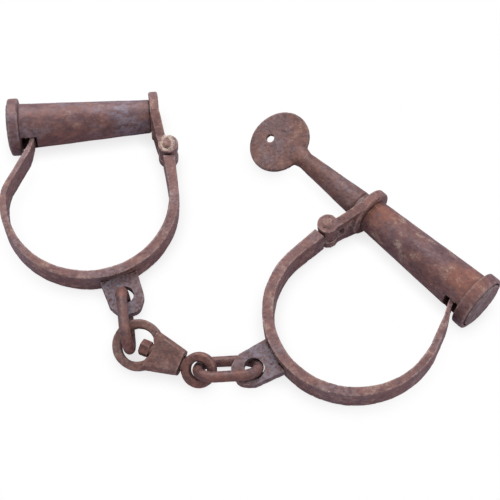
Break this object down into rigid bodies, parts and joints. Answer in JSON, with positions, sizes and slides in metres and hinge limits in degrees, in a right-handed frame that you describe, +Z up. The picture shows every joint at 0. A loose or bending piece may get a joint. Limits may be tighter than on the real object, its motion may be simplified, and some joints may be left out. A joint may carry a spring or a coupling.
{
  "type": "handcuffs",
  "caption": "Forged-iron screw-lock wrist cuffs: hinged D bows on tapered lock barrels, joined by oval links and a swivel, with a screw key in one barrel.",
  "frame": {"origin": "centre of the set's footprint on the ground it lies on", "axes": "+X from the cuff without the key to the cuff with it, +Z up from the ground"},
  "size_m": [0.217, 0.1486, 0.0261],
  "materials": {
    "swivel_body": "rust-brown patina",
    "swivel_pin": "rust-brown patina",
    "link_left": "rust-brown patina",
    "link_right": "rust-brown patina",
    "left_bow": "rust-brown patina",
    "left_chain_lug": "rust-brown patina",
    "left_lock_barrel": "rust-brown patina",
    "left_base_plug": "rust-brown patina",
    "left_hinge_arm": "rust-brown patina",
    "left_hinge_rivet": "rust-brown patina",
    "left_guide_bush": "oiled, lightly rusted",
    "left_bolt_spring": "oiled, lightly rusted",
    "left_locking_bolt": "oiled, lightly rusted",
    "right_bow": "rust-brown patina",
    "right_chain_lug": "rust-brown patina",
    "right_lock_barrel": "rust-brown patina",
    "right_base_plug": "rust-brown patina",
    "right_hinge_arm": "rust-brown patina",
    "right_hinge_rivet": "rust-brown patina",
    "right_guide_bush": "oiled, lightly rusted",
    "right_bolt_spring": "oiled, lightly rusted",
    "right_locking_bolt": "oiled, lightly rusted",
    "key_body": "rust-brown patina",
    "key_thread_tube": "rust-brown patina"
  },
  "bodies": {
    "swivel": {"swivel_body": "swivel_body"},
    "eye": {"swivel_pin": "swivel_pin"},
    "link_left": {"link_left": "link_left"},
    "link_right": {"link_right": "link_right"},
    "left_bow": {"left_bow": "left_bow", "left_chain_lug": "left_chain_lug"},
    "left_barrel": {"left_lock_barrel": "left_lock_barrel", "left_base_plug": "left_base_plug", "left_hinge_arm": "left_hinge_arm", "left_hinge_rivet": "left_hinge_rivet", "left_guide_bush": "left_guide_bush", "left_bolt_spring": "left_bolt_spring"},
    "left_bolt": {"left_locking_bolt": "left_locking_bolt"},
    "right_bow": {"right_bow": "right_bow", "right_chain_lug": "right_chain_lug"},
    "right_barrel": {"right_lock_barrel": "right_lock_barrel", "right_base_plug": "right_base_plug", "right_hinge_arm": "right_hinge_arm", "right_hinge_rivet": "right_hinge_rivet", "right_guide_bush": "right_guide_bush", "right_bolt_spring": "right_bolt_spring"},
    "right_bolt": {"right_locking_bolt": "right_locking_bolt"},
    "key": {"key_body": "key_body", "key_thread_tube": "key_thread_tube"}
  },
  "joints": [
    {"name": "link_left_swing", "type": "hinge", "parent": "swivel", "child": "link_left", "pos_m": [-0.04856, -0.05048, 0.00957], "axis": [-0.0898, -0.012, 0.9959], "range_deg": [-16, 9]},
    {"name": "left_lug_swing", "type": "hinge", "parent": "link_left", "child": "left_bow", "pos_m": [-0.05189, -0.0255, 0.00957], "axis": [-0.0898, -0.012, 0.9959], "range_deg": [-4, 8]},
    {"name": "left_cuff_hinge", "type": "hinge", "parent": "left_bow", "child": "left_barrel", "pos_m": [-0.03469, 0.04481, 0.01007], "axis": [-0.0359, 0.0459, -0.9983], "range_deg": [0, 110]},
    {"name": "left_bolt_slide", "type": "slide", "parent": "left_barrel", "child": "left_bolt", "axis": [-0.9928, -0.1158, 0.0304], "range_m": [0, 0.0054], "stiffness_N_per_m": 60, "springref_m": 0.012, "deforming": ["left_bolt_spring"]},
    {"name": "swivel_spin", "type": "hinge", "parent": "swivel", "child": "eye", "pos_m": [-0.04484, -0.0481, 0.00666], "axis": [0.9171, -0.3987, 0], "continuous": true},
    {"name": "link_right_swing", "type": "hinge", "parent": "eye", "child": "link_right", "pos_m": [-0.01962, -0.05968, 0.0073], "axis": [0.0435, -0.7318, 0.6801], "range_deg": [-20, 8]},
    {"name": "right_lug_swing", "type": "hinge", "parent": "link_right", "child": "right_bow", "pos_m": [0.00554, -0.05818, 0.0073], "axis": [0.0435, -0.7318, 0.6801], "range_deg": [-3, 3]},
    {"name": "right_cuff_hinge", "type": "hinge", "parent": "right_bow", "child": "right_barrel", "pos_m": [0.03601, 0.00425, 0.01007], "axis": [-0.0566, -0.0137, 0.9983], "range_deg": [0, 95]},
    {"name": "key_turn", "type": "hinge", "parent": "right_barrel", "child": "key", "pos_m": [0.0516, 0.0155, 0.01111], "axis": [-0.7068, 0.7068, -0.0304], "range_deg": [0, 1080]},
    {"name": "right_bolt_slide", "type": "slide", "parent": "right_barrel", "child": "right_bolt", "axis": [0.7068, -0.7068, 0.0304], "range_m": [0, 0.0055], "deforming": ["right_bolt_spring"]}
  ],
  "couplings": [
    {"joint": "right_bolt_slide", "follows": "key_turn", "m_per_rad": 0.00028648}
  ]
}
